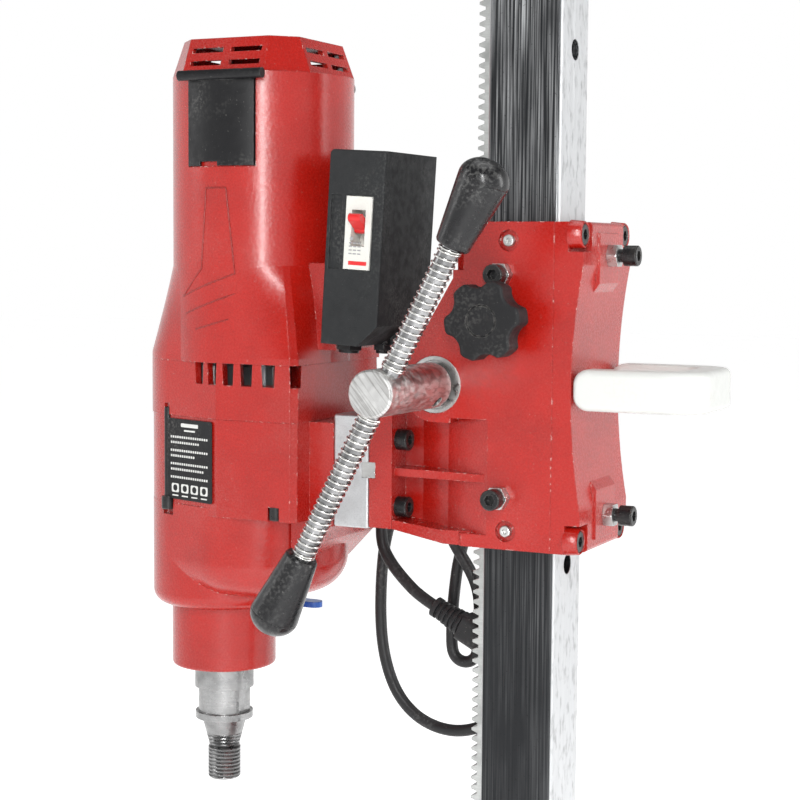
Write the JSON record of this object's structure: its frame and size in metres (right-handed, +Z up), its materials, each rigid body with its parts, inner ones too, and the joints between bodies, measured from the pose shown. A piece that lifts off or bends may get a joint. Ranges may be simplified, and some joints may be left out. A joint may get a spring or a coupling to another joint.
{
  "type": "core drill rig",
  "caption": "Wet core drill rig: a motor with gearbox and water collar on a carriage that a hand lever drives up a toothed rack on a square column with a wheeled base.",
  "frame": {"origin": "on the base's underside, on the column's axis", "axes": "+Z runs up the column, +X points from the drill motor towards the wheels, -Y is the side of the feed handle"},
  "size_m": [0.5887, 0.296, 0.907],
  "materials": {
    "red_casting": "semi-gloss red powder coat on cast aluminium",
    "base_casting": "red paint on cast iron",
    "column_finish": "dark blue-grey oxide finish with drawn streaks",
    "rack_steel": "milled zinc-grey steel",
    "bright_steel": "bright turned steel",
    "zinc_steel": "dull zinc plate",
    "black_oxide": "black oxide with a film of oil",
    "spring_wire": "bright zinc-plated wire",
    "black_plastic": "moulded black plastic, worn lighter on its edges",
    "switch_plastic": "fine-grained charcoal plastic",
    "grip_plastic": "smooth black plastic",
    "white_nylon": "white nylon",
    "spacer_aluminium": "milled aluminium",
    "tyre_rubber": "black rubber",
    "cord_rubber": "black rubber sheath",
    "plug_rubber": "black moulded rubber, with plated pins",
    "breaker_white": "white breaker plastic",
    "breaker_red": "red plastic",
    "lever_blue": "blue coated steel",
    "valve_brass": "turned brass",
    "copper": "copper bars",
    "core_steel": "laminated steel",
    "carbon": "graphite",
    "fan_aluminium": "cast aluminium",
    "pad_nylon": "cream slide plastic"
  },
  "bodies": {
    "frame": {"base_plate": "base_casting", "socket_bolts": "zinc_steel", "column": "column_finish", "gear_rack": "rack_steel", "column_cap": "black_plastic", "levelling_nuts": "zinc_steel", "wheel_axle": "bright_steel"},
    "level_front_near": {"levelling_screw_front_near": "zinc_steel"},
    "level_front_far": {"levelling_screw_front_far": "zinc_steel"},
    "level_back_near": {"levelling_screw_back_near": "zinc_steel"},
    "level_back_far": {"levelling_screw_back_far": "zinc_steel"},
    "wheel_n": {"wheel_near": "tyre_rubber"},
    "wheel_f": {"wheel_far": "tyre_rubber"},
    "carriage": {"carriage_housing": "red_casting", "carriage_cover": "red_casting", "carriage_bolts": "black_oxide", "adjusting_screws": "black_oxide", "adjusting_nuts": "zinc_steel", "slide_pads": "pad_nylon", "bearing_outer_rings": "bright_steel", "carry_handle": "white_nylon", "motor_spacer": "spacer_aluminium", "spacer_key": "bright_steel", "motor_housing": "red_casting", "vent_cap": "red_casting", "middle_housing": "red_casting", "gearbox_housing": "red_casting", "motor_screws": "black_oxide", "water_collar": "red_casting", "water_valve": "valve_brass", "stator": "core_steel", "carbon_brushes": "carbon", "motor_bearings": "bright_steel", "switch_box": "switch_plastic", "breaker_body": "breaker_white", "cable_glands": "black_plastic", "power_cord": "cord_rubber", "power_plug": "plug_rubber", "cord_clip": "black_plastic"},
    "feed_handle": {"pinion_shaft": "bright_steel", "feed_pinion": "bright_steel", "bearing_inner_rings": "bright_steel", "feed_hub": "zinc_steel", "hub_set_screw": "black_oxide", "handle_bar": "zinc_steel", "handle_springs": "spring_wire", "handle_grips": "grip_plastic"},
    "lock": {"lock_knob": "black_plastic", "lock_stud": "bright_steel"},
    "cover_near": {"brush_cover_near": "grip_plastic"},
    "cover_far": {"brush_cover_far": "grip_plastic"},
    "toggle": {"breaker_toggle": "breaker_red"},
    "water_tap": {"water_lever": "lever_blue"},
    "armature": {"armature_shaft": "bright_steel", "armature_core": "core_steel", "commutator": "copper", "cooling_fan": "fan_aluminium"},
    "layshaft": {"intermediate_gear": "bright_steel"},
    "drill_spindle": {"spindle": "bright_steel", "spindle_gear": "bright_steel"}
  },
  "joints": [
    {"name": "carriage_feed", "type": "slide", "parent": "frame", "child": "carriage", "axis": [0, 0, 1], "range_m": [-0.21, 0.25]},
    {"name": "feed_lever_turn", "type": "hinge", "parent": "carriage", "child": "feed_handle", "pos_m": [-0.04875, -0.05, 0.53], "axis": [0, 1, 0], "range_deg": [-810, 960]},
    {"name": "levelling_front_near", "type": "slide", "parent": "frame", "child": "level_front_near", "axis": [0, 0, 1], "range_m": [-0.012, 0.006]},
    {"name": "levelling_front_far", "type": "slide", "parent": "frame", "child": "level_front_far", "axis": [0, 0, 1], "range_m": [-0.012, 0.006]},
    {"name": "levelling_back_near", "type": "slide", "parent": "frame", "child": "level_back_near", "axis": [0, 0, 1], "range_m": [-0.012, 0.006]},
    {"name": "levelling_back_far", "type": "slide", "parent": "frame", "child": "level_back_far", "axis": [0, 0, 1], "range_m": [-0.012, 0.006]},
    {"name": "wheel_near_turn", "type": "hinge", "parent": "frame", "child": "wheel_n", "pos_m": [0.276, 0, 0.048], "axis": [0, 1, 0], "continuous": true},
    {"name": "wheel_far_turn", "type": "hinge", "parent": "frame", "child": "wheel_f", "pos_m": [0.276, 0, 0.048], "axis": [0, 1, 0], "continuous": true},
    {"name": "lock_knob_turn", "type": "hinge", "parent": "carriage", "child": "lock", "pos_m": [-0.0049, -0.066, 0.5707], "axis": [0, -1, 0], "range_deg": [-180, 180]},
    {"name": "brush_cover_near_open", "type": "hinge", "parent": "carriage", "child": "cover_near", "pos_m": [-0.194, -0.0608, 0.7206], "axis": [-1, 0, 0], "range_deg": [0, 75]},
    {"name": "brush_cover_far_open", "type": "hinge", "parent": "carriage", "child": "cover_far", "pos_m": [-0.194, 0.0608, 0.7206], "axis": [1, 0, 0], "range_deg": [0, 75]},
    {"name": "breaker_switch", "type": "hinge", "parent": "carriage", "child": "toggle", "pos_m": [-0.09631, -0.0465, 0.6248], "axis": [0.9984, 0, -0.0558], "range_deg": [0, 64]},
    {"name": "water_lever_turn", "type": "hinge", "parent": "carriage", "child": "water_tap", "pos_m": [-0.2247, 0.052, 0.3654], "axis": [0, 0, 1], "range_deg": [0, 90]},
    {"name": "armature_spin", "type": "hinge", "parent": "carriage", "child": "armature", "pos_m": [-0.194, 0, 0.6], "axis": [0, 0, 1], "continuous": true},
    {"name": "layshaft_spin", "type": "hinge", "parent": "carriage", "child": "layshaft", "pos_m": [-0.20685, 0.02656, 0.47], "axis": [0, 0, 1], "continuous": true},
    {"name": "spindle_spin", "type": "hinge", "parent": "carriage", "child": "drill_spindle", "pos_m": [-0.2247, 0, 0.4], "axis": [0, 0, 1], "continuous": true}
  ],
  "couplings": [
    {"joint": "feed_lever_turn", "follows": "carriage_feed", "rad_per_m": 66.667},
    {"joint": "layshaft_spin", "follows": "armature_spin", "ratio": -0.22917},
    {"joint": "spindle_spin", "follows": "armature_spin", "ratio": 0.064167}
  ]
}
